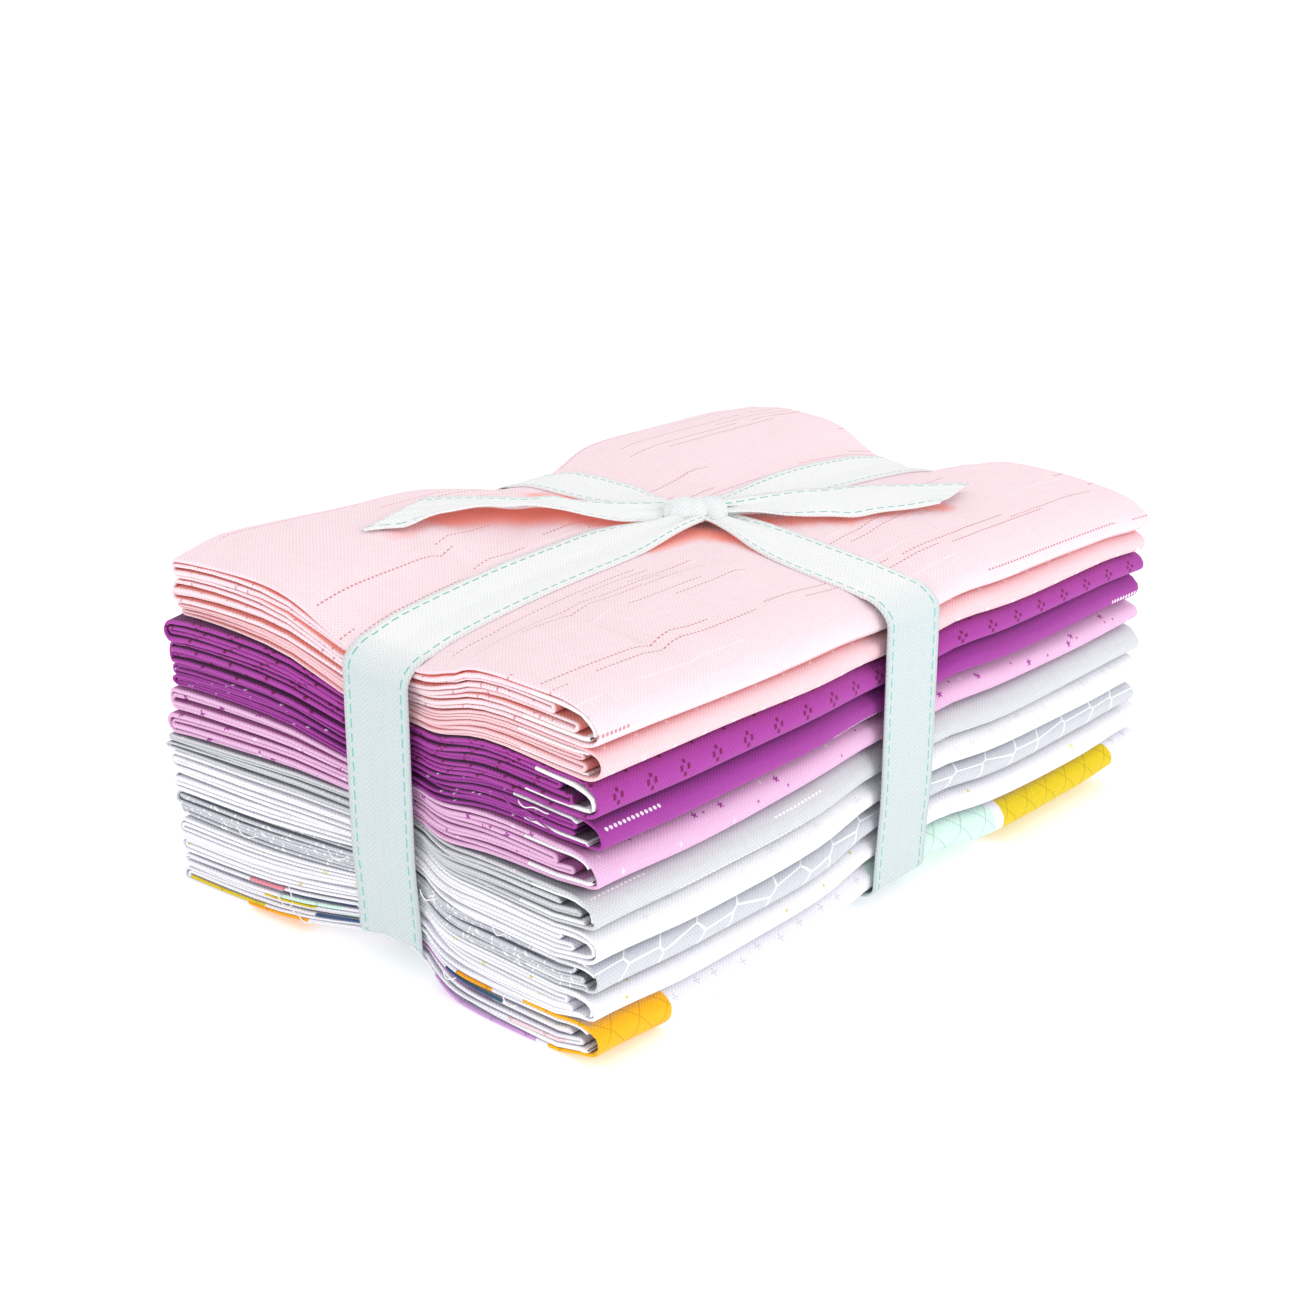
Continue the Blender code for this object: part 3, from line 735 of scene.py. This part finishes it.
def printDots(tree, place, colour):
    radius, step = 0.5, 1.5
    for size, seed, fill in (((56, 9), 2, 0.5), ((44, 12), 7, 0.4)):
        mask = dashes(tree, place, size, seed, radius, step, 0.6, fill, dots=True)
        colour = overlay(tree, colour, mask, "#fbeefa")
    # one more row beside the near corner
    local = addNode(tree, "VectorMath", [place, (11.5, 535.4, 0.0)], "SUBTRACT")
    parts = addNode(tree, "SeparateXYZ", [local])
    within = addNode(tree, "Math", [parts.outputs[0], 0.0, 9.5], "COMPARE")
    along = addNode(tree, "Math", [parts.outputs[0], step / 2], "PINGPONG")
    spot = addNode(tree, "CombineXYZ", [along, parts.outputs[1]])
    mask = [petals(tree, spot, radius, 4, 0.0), within]
    mask = addNode(tree, "Math", mask, "MULTIPLY")
    return overlay(tree, colour, mask, "#fbeefa")


def printStars(tree, place, colour):
    return sprinkled(
        tree, place, colour,
        ((17, 11), 0.9, 5, (1.0, 5, 0.32, 0.2, 1.2), "#a43a9e", 1.0),
        ((13, 9), 0.95, 8, (0.42, 4, 0.1, 0.2), "#a8489f", 0.9),
        ((14, 10), 1.0, 11, (0.6, 4, 0.4, 0.3), "#fdf4fb", 0.75),
    )


def printDashGrey(tree, place, colour):
    mask = dashes(tree, place, (62, 8), 3, 0.26, 1.5, 0.62, 0.75)
    colour = overlay(tree, colour, mask, "#ffffff", 0.9)
    mask = dashes(tree, place, (56, 13), 8, 0.2, 1.4, 0.5, 0.25)
    return overlay(tree, colour, mask, "#7d828c", 0.9)


def printWhite(tree, place, colour):
    return sprinkled(tree, place, colour, ((10, 9), 0.7, 4, (1.2, 4, 0.5, 0.5), "#dcdbe4", 0.6))


def printNet(tree, place, colour):
    # an uneven net of pale lines round longish pebbles, 13 mm by 8 mm
    spot = []
    for way in ((1 / 13.0, 0.5 / 8.0, 0.0), (0.0, 1 / 8.0, 0.0)):
        part = addNode(tree, "VectorMath", [place, way], "DOT_PRODUCT")
        spot.append(part.outputs["Value"])
    inputs = {"Vector": addNode(tree, "CombineXYZ", spot), "Scale": 1.0, "Randomness": 0.32}
    edge = {"voronoi_dimensions": "2D", "feature": "DISTANCE_TO_EDGE"}
    net = addNode(tree, "TexVoronoi", inputs, **edge)
    mask = addNode(tree, "Math", [net, -56.0, 1.9], "MULTIPLY_ADD", use_clamp=True)
    return overlay(tree, colour, mask, "#fbfcfd", 0.95)


def printFlecks(tree, place, colour):
    return sprinkled(
        tree, place, colour,
        ((24, 16), 1.0, 6, (1.0, 6, 0.35, 0.4), "#d5e272", 0.85),
        ((15, 17), 1.0, 13, (0.55, 4, 0.25, 0.3), "#d8c21c", 0.9),
    )


discs = [
    # along, across the flat cloth, radius, colour
    (3, 537, 23, "#f8b711"), (133, 538, 26, "#d3f0e4"), (190, 543, 28, "#dfc40f"),
    (2, 38, 7, "#f3a50c"), (-4, 92, 13, "#33507a"), (3, 176, 11, "#d3f0e4"),
    (-2, 232, 11, "#2f5a78"), (4, 306, 14, "#b46ab0"), (-3, 362, 9, "#dfc40f"),
    (2, 428, 6, "#e98a96"), (-4, 476, 12, "#33507a"), (3, 581, 18, "#cb9bd3"),
    (-3, 652, 10, "#f3a50c"), (3, 748, 13, "#d3f0e4"), (-2, 836, 10, "#f4dbe0"),
    (4, 902, 12, "#33507a"), (-3, 968, 13, "#dfc40f"), (2, 1034, 11, "#c07fc0"),
]


def printDiscs(tree, place, colour):
    # large plain discs crossed by a fine lattice, on small grey crosses
    crosses = ((8, 7), 0.35, 2, (1.1, 4, 0.5, 0.3), "#cfcdd7", 0.9)
    colour = sprinkled(tree, place, colour, crosses)
    lines = [slants(tree, place, (0.1, side * 0.09), 0.16) for side in (1, -1)]
    lines = addNode(tree, "Math", lines, "MAXIMUM")
    deeper = addNode(tree, "MixRGB", [lines, (1, 1, 1, 1), (0.72, 0.72, 0.72, 1)])
    for along, across, radius, code in discs:
        local = addNode(tree, "VectorMath", [place, (along, across, 0.0)], "SUBTRACT")
        far = addNode(tree, "VectorMath", [local], "LENGTH").outputs["Value"]
        mask = [far, -3.0, 3.0 * radius]
        mask = addNode(tree, "Math", mask, "MULTIPLY_ADD", use_clamp=True)
        disc = addNode(tree, "VectorMath", [deeper, linear(code)[:3]], "MULTIPLY")
        colour = addNode(tree, "MixRGB", [mask, colour, disc])
    return colour


# What the eye gets from each cloth: its ground, the colour of the painted shade
# in its folds and partings (the top cloth's painted bounce light too), and its print
looks = {
    "cloth_pink": ("#f6dde4", "#ee8674", printPink),
    "cloth_blush": ("#f3ccd2", "#dc8078", printBlush),
    "cloth_diamond_purple": ("#a73e9f", "#4d0a48", printDiamonds),
    "cloth_dotted_purple": ("#a03b9b", "#470a45", printDots),
    "cloth_lilac": ("#e4b6da", "#a0478f", printStars),
    "cloth_dash_grey": ("#d0d3d7", "#70747c", printDashGrey),
    "cloth_white": ("#f4f3f8", "#d8d6e2", printWhite),
    "cloth_net_grey": ("#cdd0d7", "#5a5d68", printNet),
    "cloth_flecked": ("#f3f2f8", "#d8d6e2", printFlecks),
    "cloth_spotted": ("#ecebf2", "#b4b2c0", printDiscs),
}


def eased(places, values, at):
    # a smooth line through the table's values
    slopes = np.gradient(values, places)
    index = np.clip(np.searchsorted(places, at) - 1, 0, len(places) - 2)
    x0, x1 = places[index], places[index + 1]
    t = np.clip((at - x0) / (x1 - x0), 0.0, 1.0)
    h = x1 - x0
    before = (1 + 2 * t) * (1 - t) ** 2 * values[index] + t * (1 - t) ** 2 * h * slopes[index]
    after = t * t * (3 - 2 * t) * values[index + 1] + t * t * (t - 1) * h * slopes[index + 1]
    return before + after


loose = {"end": -115.4, "bulge": 0.9, "half": 0.12, "along": 40.0}

# Short loose threads at the cut and folded edges of the -X end: the place across
# the flat cloth that gives each its colour, then its Y and height, point by point
threads = {
    "cloth_dotted_purple": [
        (230, [(-47.5, 57.6), (-51.9, 55.9), (-55.8, 56.3), (-59.3, 54.8), (-64.5, 52.9)]),
        (230, [(-50.0, 54.4), (-53.0, 55.6), (-57.0, 54.6), (-60.0, 56.0)]),
        (6, [(-52.4, 57.6), (-55.0, 57.0), (-57.9, 57.7), (-61.3, 57.0)]),
    ],
    "cloth_dash_grey": [(6, [(-20.2, 26.8), (-22.8, 25.4), (-25.6, 26.3)])],
    "cloth_net_grey": [
        (6, [(46.8, 22.9), (43.0, 21.6), (38.8, 22.6)]),
        (6, [(-43.6, 25.6), (-45.6, 24.2), (-47.6, 24.8)]),
        (6, [(12.0, 27.4), (8.6, 26.0), (5.4, 26.8)]),
    ],
    "cloth_spotted": [
        (6, [(27.8, 13.4), (25.8, 9.8), (26.6, 7.6), (24.5, 5.7)]),
        (6, [(32.8, 9.4), (31.0, 8.8), (29.8, 6.8)]),
        (6, [(24.6, 6.9), (22.0, 5.4), (19.0, 5.9)]),
        (6, [(-27.0, 8.9), (-29.0, 7.7), (-31.0, 8.3)]),
        (6, [(-46.3, 9.6), (-48.3, 8.0), (-50.3, 8.2)]),
    ],
}


def layThread(bm, row):
    across, path = row
    path = np.array(path)
    places = np.arange(len(path)) * 1.0
    at = np.linspace(0, len(path) - 1, 6 * len(path))[:, None]
    y, z = (eased(places, path[:, k], at) for k in (0, 1))
    x = loose["end"] - loose["bulge"] * np.sin(pi * at / at[-1]) ** 0.5
    wide = loose["half"] * np.array([-1, 1])
    points = np.stack(np.broadcast_arrays(x, y, z + wide), axis=-1)
    length = across + 0.1 * at + 0 * wide
    placeMesh(bm, points, loose["along"] + wide + 0 * length, length, 0 * length)


for level, row in enumerate(cloths):
    node, isTop = row[0], level + 1 == len(cloths)
    slot = node.replace("cloth", "cotton")
    step = fold["topStep"] if isTop else fold["step"]
    points, along, length, shade, lit = foldedPoints(level, step)
    material = cottonMaterial(slot, *looks[node], float(length.max()), isTop)
    bm = bmesh.new()
    placeMesh(bm, points, along, length, shade, lit)
    for thread in threads.get(node, []):
        layThread(bm, thread)
    piece = finishPiece("folded_" + node, bm, material, fold["thick"], node)
print("stage: ten cloths folded")

ribbon = {
    "half": 10.8,
    "thick": 0.45,
    "gap": 0.45,  # off the stack's sides and bottom
    "lie": 0.3,  # its middle over the top cloth's face
    "rise": 2.0,  # of the bands near the knot
    "riseReach": 15.0,
    "pleat": 0.7,
    "topTurn": 6.0,
    "bottomTurn": 3.0,
    "bow": (2.2, 0.8),  # of a band off the stack's sides, above and at the bottom
    "columns": 13,
    "rows": (40, 8, 14, 6, 14),  # on top, round the upper edge, down, round the lower, below
    # how far a band's two edges stand off its middle line, by the distance from
    # the knot; low and high side of each half band
    "edges": {
        "x-": [
            (0, -6.0, 1.0), (10, -6.8, 4.2), (17, -7.4, 6.4), (24, -8.6, 9.2),
            (32, -9.8, 10.8), (46, -10.8, 10.8),
        ],
        "x+": [
            (0, -2.5, 4.5), (10, -4.5, 4.5), (20, -8.0, 5.8), (32, -10.4, 8.2),
            (50, -10.8, 10.2), (70, -10.8, 10.8), (90, -10.4, 10.8), (108, -8.4, 10.8),
        ],
        "y-": [
            (0, -4.5, 3.5), (10, -4.7, 7.0), (18, -6.1, 9.0), (26, -8.3, 10.4),
            (40, -10.8, 10.8), (60, -10.8, 10.8),
        ],
        "y+": [
            (0, -3.5, 3.5), (12, -6.5, 4.0), (20, -9.6, 6.0), (28, -10.8, 8.6),
            (37, -11.0, 9.9), (50, -9.4, 10.8), (66, -6.4, 10.8),
        ],
    },
}


def bandHalf(longWay, side):
    # half of one band, from the knot over the top and down to the middle below
    w = np.linspace(-1, 1, ribbon["columns"])[None, :]
    centre, middle = (stack["cross" + axis] for axis in ("XY" if longWay else "YX"))
    if longWay:
        end = stack["halfLength"] - stack["waistEnd"]
    elif side < 0:
        end = -stack["foldY"] + fold["depth"] + 0.15 - stack["waistFold"]
    else:
        end = stack["backY"] + fold["backDepth"] + 0.15 - stack["waistFold"]
    end = side * (end + ribbon["gap"])
    table = np.array(ribbon["edges"][("x" if longWay else "y") + ("-" if side < 0 else "+")])
    onTop, upperTurn, down, lowerTurn, below = ribbon["rows"]
    points = []

    def spot(place, beside):
        return (place + 0 * beside, beside) if longWay else (beside, place + 0 * beside)

    def at(place, beside, z):
        x, y = inPlan(*spot(place, beside))
        points.append(np.stack(np.broadcast_arrays(x, y, z), axis=-1)[0])

    inner = end - side * ribbon["topTurn"]
    for place in np.linspace(centre + side * 1.0, inner, onTop):
        off = abs(place - centre)
        low, high = (eased(table[:, 0], table[:, k], off) for k in (1, 2))
        slim = middle + (low + high) / 2 + w * (high - low) / 2
        gathered = 1 - smooth(off, 5.0, 40.0)
        under = clothTop(*spot(place, slim))
        z = under.max() * gathered + under * (1 - gathered)
        z = z + ribbon["lie"] + ribbon["rise"] * bell(off, 6.0, ribbon["riseReach"])
        pleats = np.sin(1.9 * pi * w + (0.9 if longWay else -0.7) * side)
        at(place, slim, z + ribbon["pleat"] * gathered**1.5 * pleats)
    beside = middle + w * ribbon["half"]
    turn = ribbon["topTurn"]
    top = clothTop(*spot(inner, slim)) + ribbon["lie"]
    low = bottomHeight(*spot(end, beside)) - ribbon["gap"]
    bow, least = ribbon["bow"]
    for angle in np.radians(np.linspace(0, 90, upperTurn + 1)[1:]):
        out = side * (turn * sin(angle) + bow * sin(angle) ** 2)
        at(inner + out, slim, top - turn * (1 - cos(angle)))
    for share in np.linspace(0, 1, down + 2)[1:-1]:
        z = (top - turn) * (1 - share) + (low + ribbon["bottomTurn"]) * share
        widened = slim + (beside - slim) * smooth(share, 0.0, 0.7)
        at(end + side * (bow + (least - bow) * smooth(share, 0.6, 1.0)), widened, z)
    turn = ribbon["bottomTurn"]
    inner = end - side * turn
    for angle in np.radians(np.linspace(90, 0, lowerTurn + 1)[:-1]):
        out = side * (turn * sin(angle) + least * sin(angle) ** 2)
        at(inner + out, beside, low + turn * (1 - cos(angle)))
    for place in np.linspace(inner, centre, below):
        at(place, beside, bottomHeight(*spot(place, beside)) - ribbon["gap"])
    # painted shade: greyer where it turns down the sides
    rest = down + lowerTurn + below
    shade = np.concatenate([np.zeros(onTop), np.linspace(0.1, 1, upperTurn), np.ones(rest)])
    return np.array(points), shade


def layStrip(bm, points, shade=0.0, tucked=1.0):
    # one stretch of the ribbon, with its edges' dashed lines closer where they
    # are tucked in; gives its length
    length = runLength(points[:, points.shape[1] // 2])
    across = ribbon["half"] * (1 + tucked * np.linspace(-1, 1, points.shape[1]))[None, :]
    full = 0 * (length + across)
    placeMesh(bm, points, length + full, across + full, shade + full)
    return length.max()


# A free end's rows: its distance from the knot, the rise of its -Y edge and of
# its +Y edge over the cloth, its width, its drift to -Y and how far it sags
# between the edges
tailLeft = {"way": 145, "cut": 19, "rows": [
    (0, 2, 4.4, 7, 0, 0), (8, 1.3, 3.9, 8, 0, 0), (15, 1.2, 3.7, 9.2, 0, 0),
    (22, 1.7, 3.3, 11.5, 0, 0.2), (30, 3.5, 2.7, 14.5, 0, 0.4),
    (38, 5.4, 2.1, 17, 0, 0.8), (48, 7.2, 1.9, 19.5, 0.4, 1.7),
    (58, 6.4, 1.8, 21, 0.9, 1.3), (68, 3.2, 2.1, 21.5, 1.6, 0.3),
    (75, 1.5, 2.2, 21.5, 2.1, 0), (80.5, 0.8, 2.4, 21.5, 2.6, 0),
]}
tailRight = {"way": -38, "cut": 15.5, "rows": [
    (0, 3, 4, 8, 0, 0.3), (6, 3.8, 3.7, 9.5, 0, 1.2), (14, 4.2, 4.1, 12.5, 0, 1.9),
    (22, 3.2, 4.1, 16, 0, 1), (30, 2.4, 4.2, 19, 0, 0.2),
    (38, 1.9, 3.6, 21, 0, 0), (46, 1.8, 2.9, 21.5, 0, 0),
    (54, 1.9, 2.4, 21.5, 0, 0), (62, 2.2, 2.2, 21.5, 0, 0),
    (71, 2.8, 2.2, 21.5, 0, 0),
]}


def tailPoints(tail):
    rows = np.array(tail["rows"], float)
    w = np.linspace(-1, 1, ribbon["columns"])
    way = radians(tail["way"])
    ahead = np.array([cos(way), sin(way)])
    aside = np.array([-ahead[1], ahead[0]])
    near = -1.0 if aside[1] > 0 else 1.0  # the side that lies towards -Y
    start = np.array(inPlan(stack["crossX"], stack["crossY"]))
    points = []
    for share in np.linspace(0.02, 1, 48):
        length = rows[-1, 0] * share
        values = [eased(rows[:, 0], rows[:, k], length) for k in range(1, 6)]
        riseNear, riseFar, width, drift, sag = values
        # the cut grows towards the end so that the rows stay apart
        reach = length + w * tail["cut"] / 2 * share**3
        flat = (width**2 - (riseNear - riseFar) ** 2) ** 0.5
        sideways = w * flat / 2 + near * drift
        x = start[0] + ahead[0] * reach + aside[0] * sideways
        y = start[1] + ahead[1] * reach + aside[1] * sideways
        rise = riseFar + (riseNear - riseFar) * (0.5 + 0.5 * near * w) - sag * (1 - w * w)
        pleats = 0.5 * (1 - smooth(length, 4.0, 26.0)) * np.sin(2.2 * pi * w + 0.6)
        z = clothTop(x, y) + np.maximum(0.4, rise + pleats)
        points.append(np.stack([x, y, z], axis=-1))
    return np.array(points)


knot = {
    "z": 88.8,
    "turn": -42.0,  # of its roll in plan
    "bights": [
        # centre along the roll, turn, half width, depth, height, start and end angle
        (-2.0, -6, 7.0, 4.5, 3.5, -35, 215),
        (3.9, 40, 4.2, 4.6, 3.6, -35, 215),
        (-5.6, -34, 3.2, 3.8, 2.4, -25, 200),
    ],
}


def bightPoints(row):
    centre, turn, half, depth, height, first, last = row
    base, angle = radians(knot["turn"]), radians(knot["turn"] + turn)
    line = np.array([cos(base), sin(base), 0.0])
    side = np.array([cos(angle), sin(angle), 0.0])
    ahead = np.array([-side[1], side[0], 0.0])
    startX, startY = inPlan(stack["crossX"], stack["crossY"])
    middle = np.array([startX - 1.5, startY - 1.0, knot["z"]]) + line * centre
    w = np.linspace(-1, 1, ribbon["columns"])[:, None]
    points = []
    for a in np.radians(np.linspace(last, first, 26)):
        swell = 1 - 0.8 * w**4 + 0.05 * np.cos(3.5 * pi * w + a)
        width = half * (1 - 0.2 * abs(cos(a)))
        points.append(
            middle + side * w * width + ahead * depth * cos(a) * swell
            + np.array([0, 0, 1.0]) * height * sin(a) * swell
        )
    return np.array(points)


def ribbonMaterial():
    # White herringbone twill tape with a dashed teal line near each edge
    material, tree, shader = newMaterial("ribbon_twill")
    parts = addNode(tree, "SeparateXYZ", [flatPlace(tree)])
    along, across = parts.outputs[0], parts.outputs[1]
    fromEdge = addNode(tree, "Math", [across, ribbon["half"]], "PINGPONG")
    fromLine = addNode(tree, "Math", [fromEdge, 2.1], "SUBTRACT")
    fromLine = addNode(tree, "Math", [fromLine], "ABSOLUTE")
    line = addNode(tree, "Math", [fromLine, -8.0, 2.5], "MULTIPLY_ADD", use_clamp=True)
    scaled = addNode(tree, "Math", [along, 1 / 3.4], "MULTIPLY")
    phase = addNode(tree, "Math", [scaled], "FRACT")
    dash = addNode(tree, "Math", [phase, 0.66], "LESS_THAN")
    mask = addNode(tree, "Math", [line, dash], "MULTIPLY")
    # herringbone columns 2.6 mm wide; the real ribs are 0.8 mm apart, drawn at
    # 1.2 mm so that they show
    column = addNode(tree, "Math", [across, 2.6], "PINGPONG")
    slant = addNode(tree, "Math", [along, column], "ADD")
    turn = addNode(tree, "Math", [slant, 2 * pi / 1.2], "MULTIPLY")
    rib = addNode(tree, "Math", [turn], "SINE")
    tone = addNode(tree, "Math", [rib, 0.045, 0.965], "MULTIPLY_ADD")
    # painted shade: the sides and the knot are mixed towards a cooler grey
    shade = addNode(tree, "Attribute", attribute_name="shade").outputs["Fac"]
    white = addNode(tree, "MixRGB", [shade, linear("#f7f8f8"), linear("#cdd8da")])
    colour = addNode(tree, "MixRGB", [mask, white, linear("#78c6b9")])
    bump = addNode(tree, "Bump", {"Height": rib, "Strength": 0.4, "Distance": 0.0002})
    feed(tree, shader, {
        "Base Color": toned(tree, colour, tone), "Normal": bump, "Roughness": 0.8,
        "Specular IOR Level": 0.3, "Sheen Weight": 0.15,
    })
    return material


bm = bmesh.new()
total = 0.0
for longWay in (True, False):
    halves = [bandHalf(longWay, side) for side in (-1, 1)]
    points, shade = (np.concatenate([one, other[::-1][1:]]) for one, other in zip(*halves))
    total += layStrip(bm, points, shade[:, None])
for tail in (tailLeft, tailRight):
    total += layStrip(bm, tailPoints(tail))
for row in knot["bights"]:
    # the knot's bights get a little painted shade
    total += layStrip(bm, bightPoints(row), 0.25, 0.6)
bmesh.ops.recalc_face_normals(bm, faces=bm.faces)
tied = finishPiece("tied_ribbon", bm, ribbonMaterial(), ribbon["thick"], "ribbon")
print("stage: ribbon tied, length", round(float(total)), "mm")

# Bare room: white paper on a softly lit table, under soft even light
room = {"glow": 0.28, "world": 1.0, "tableSize": 60.0, "aim": (0.0, 0.0, 0.04)}
white = (1.0, 1.0, 1.0, 1.0)
paper, tree, shader = newMaterial("paper_floor")
tone = addNode(tree, "TexNoise", {"Scale": 3.0, "Detail": 3.0})
tone = addNode(tree, "Math", [tone, 0.02, 0.94], "MULTIPLY_ADD")
tone = addNode(tree, "CombineXYZ", [tone, tone, tone])
feed(tree, shader, {
    "Base Color": tone, "Emission Color": white, "Emission Strength": room["glow"],
    "Roughness": 0.9,
})
bm = bmesh.new()
bmesh.ops.create_grid(bm, x_segments=1, y_segments=1, size=room["tableSize"])
meshObject("floor", bm, paper)

world = bpy.data.worlds.new("white_room")
world.use_nodes = True
sky = world.node_tree.nodes["Background"]
feed(world.node_tree, sky, {"Color": white, "Strength": room["world"]})
bpy.context.scene.world = world
bpy.context.scene.view_settings.view_transform = "Standard"

softboxes = [
    # name, place, size, watts
    ("key", (0.1, -1.65, 0.3), 1.0, 8.0),
    ("fill", (-1.55, 0.3, 0.35), 0.9, 2.8),
]
for name, place, size, watts in softboxes:
    light = bpy.data.lights.new(name, "AREA")
    light.shape = "SQUARE"
    light.size = size
    light.energy = watts
    lamp = placeObject(name, light)
    lamp.location = place
    way = Vector(room["aim"]) - Vector(place)
    lamp.rotation_euler = way.to_track_quat("-Z", "Y").to_euler()

view = {
    "place": (-0.389829, -0.331306, 0.221997), "pitch": 71.494, "turn": -48.447,
    "lens": 55.53, "sensor": 36.0,
}
camera = bpy.data.cameras.new("camera")
camera.lens = view["lens"]
camera.sensor_width = view["sensor"]
holder = placeObject("camera", camera)
holder.location = view["place"]
holder.rotation_euler = (radians(view["pitch"]), 0.0, radians(view["turn"]))
bpy.context.scene.camera = holder
print("stage: room lit")
